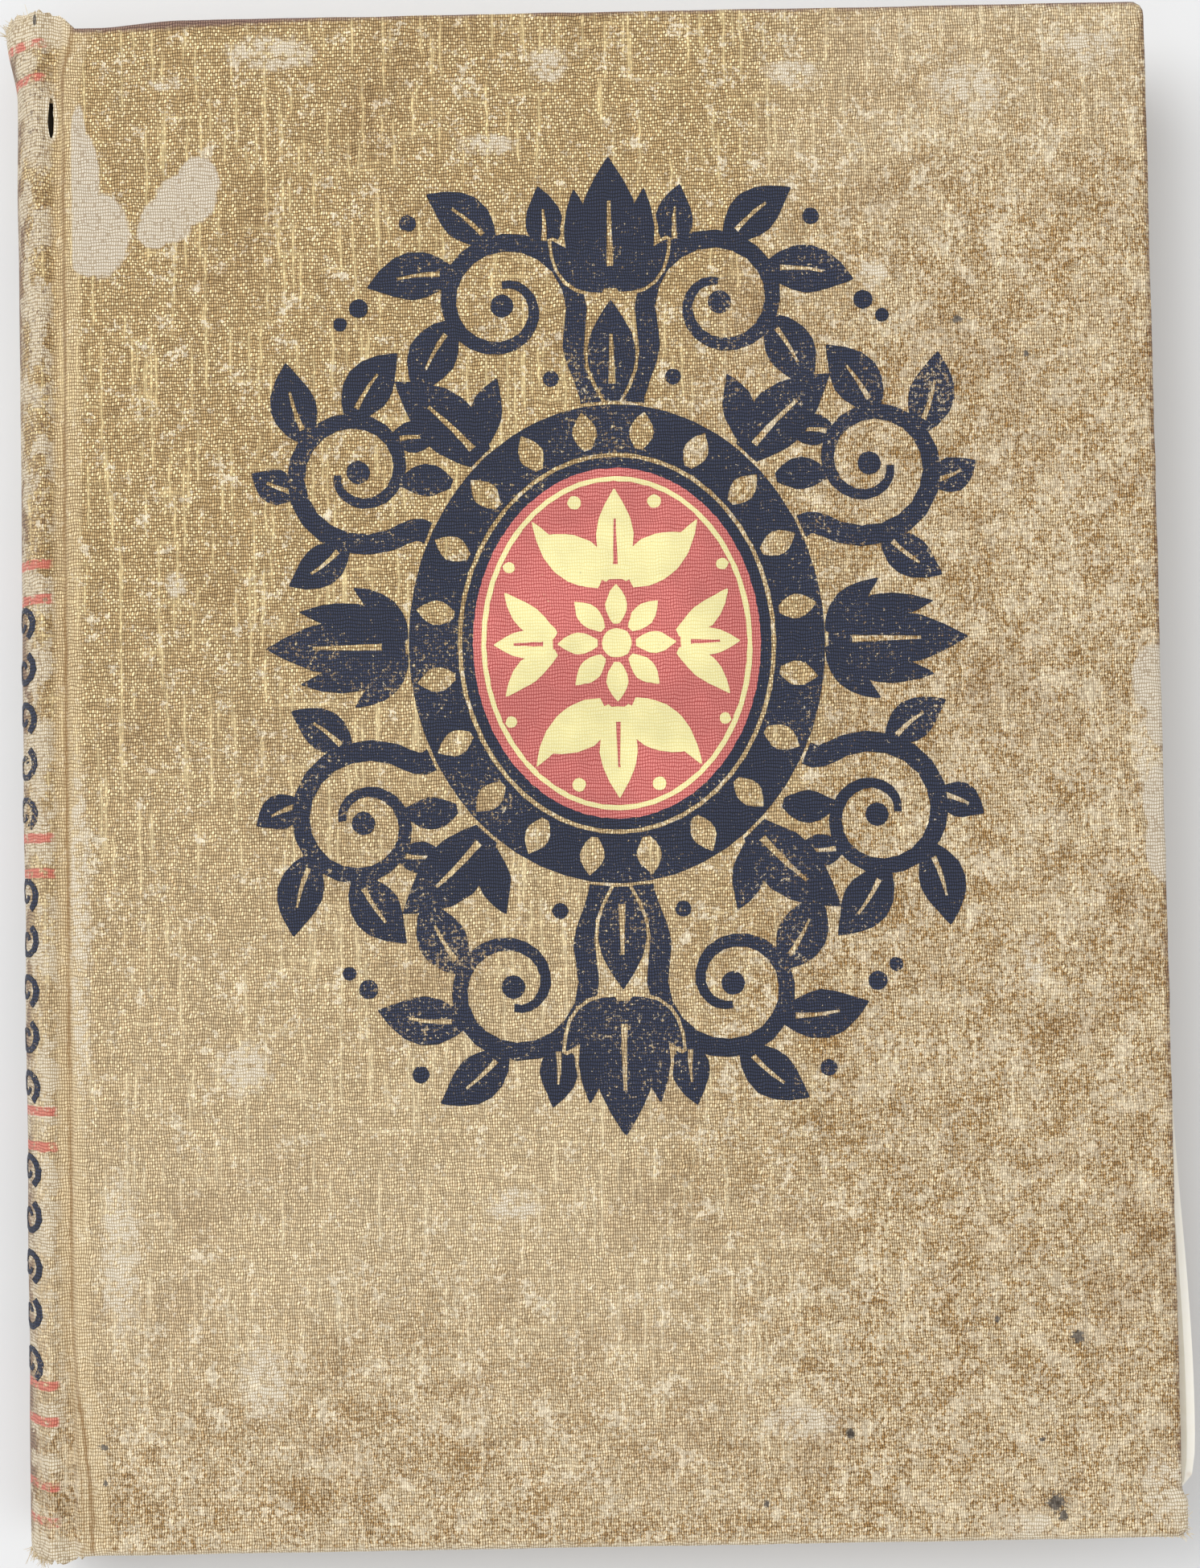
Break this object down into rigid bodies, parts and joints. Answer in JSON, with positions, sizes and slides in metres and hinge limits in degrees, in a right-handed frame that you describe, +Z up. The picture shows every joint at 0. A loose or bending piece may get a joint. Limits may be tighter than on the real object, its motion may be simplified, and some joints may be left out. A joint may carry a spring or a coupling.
{
  "type": "antique cloth-bound book",
  "caption": "Large antique case-bound book with a rounded spine, worn tan cloth covers that open, a stamped scroll ornament and loose leaves.",
  "frame": {"origin": "below the middle of the whole shut book, in the plane of the back cover's outside face", "axes": "+X from the spine to the fore-edge, +Y from the tail to the head, +Z up from the back cover to the front cover"},
  "size_m": [0.2183, 0.29, 0.0242],
  "materials": {
    "book_cloth": "worn, mottled plain-weave book cloth",
    "grey_board": "plain grey board",
    "leaves": "matt, browned at the edges",
    "endpaper": "matt, foxed",
    "gauze": "open-weave, glue-stiffened",
    "brown_paper": "matt",
    "dark_ink": "stamped ink, rubbed thin on the weave",
    "red_ink": "stamped ink, matt",
    "gold_ink": "stamped pale gold colour, matt"
  },
  "bodies": {
    "leaves_and_spine": {"text_block": "leaves", "front_free_endpaper": "endpaper", "back_free_endpaper": "endpaper", "loose_leaf_upper": "leaves", "loose_leaf_lower": "leaves", "spine_gauze": "gauze", "spine_paper_lining": "brown_paper", "spine_inlay": "grey_board", "spine_cloth": "book_cloth", "front_joint_cloth": "book_cloth", "back_joint_cloth": "book_cloth", "spine_red_rules": "red_ink", "spine_dark_scrolls": "dark_ink"},
    "front_cover": {"front_board": "grey_board", "front_cover_cloth": "book_cloth", "front_pastedown": "endpaper", "front_gauze_flange": "gauze", "cover_dark_ornament": "dark_ink", "cover_red_medallion": "red_ink", "cover_gold_rosette": "gold_ink"},
    "back_cover": {"back_board": "grey_board", "back_cover_cloth": "book_cloth", "back_pastedown": "endpaper", "back_gauze_flange": "gauze"}
  },
  "joints": [
    {"name": "front_cover_hinge", "type": "hinge", "parent": "leaves_and_spine", "child": "front_cover", "pos_m": [-0.1022, 0, 0.0223], "axis": [0, -1, 0], "range_deg": [0, 180], "deforming": ["front_joint_cloth"]},
    {"name": "back_cover_hinge", "type": "hinge", "parent": "leaves_and_spine", "child": "back_cover", "pos_m": [-0.1022, 0, 0.0017], "axis": [0, 1, 0], "range_deg": [0, 180], "deforming": ["back_joint_cloth"]}
  ]
}
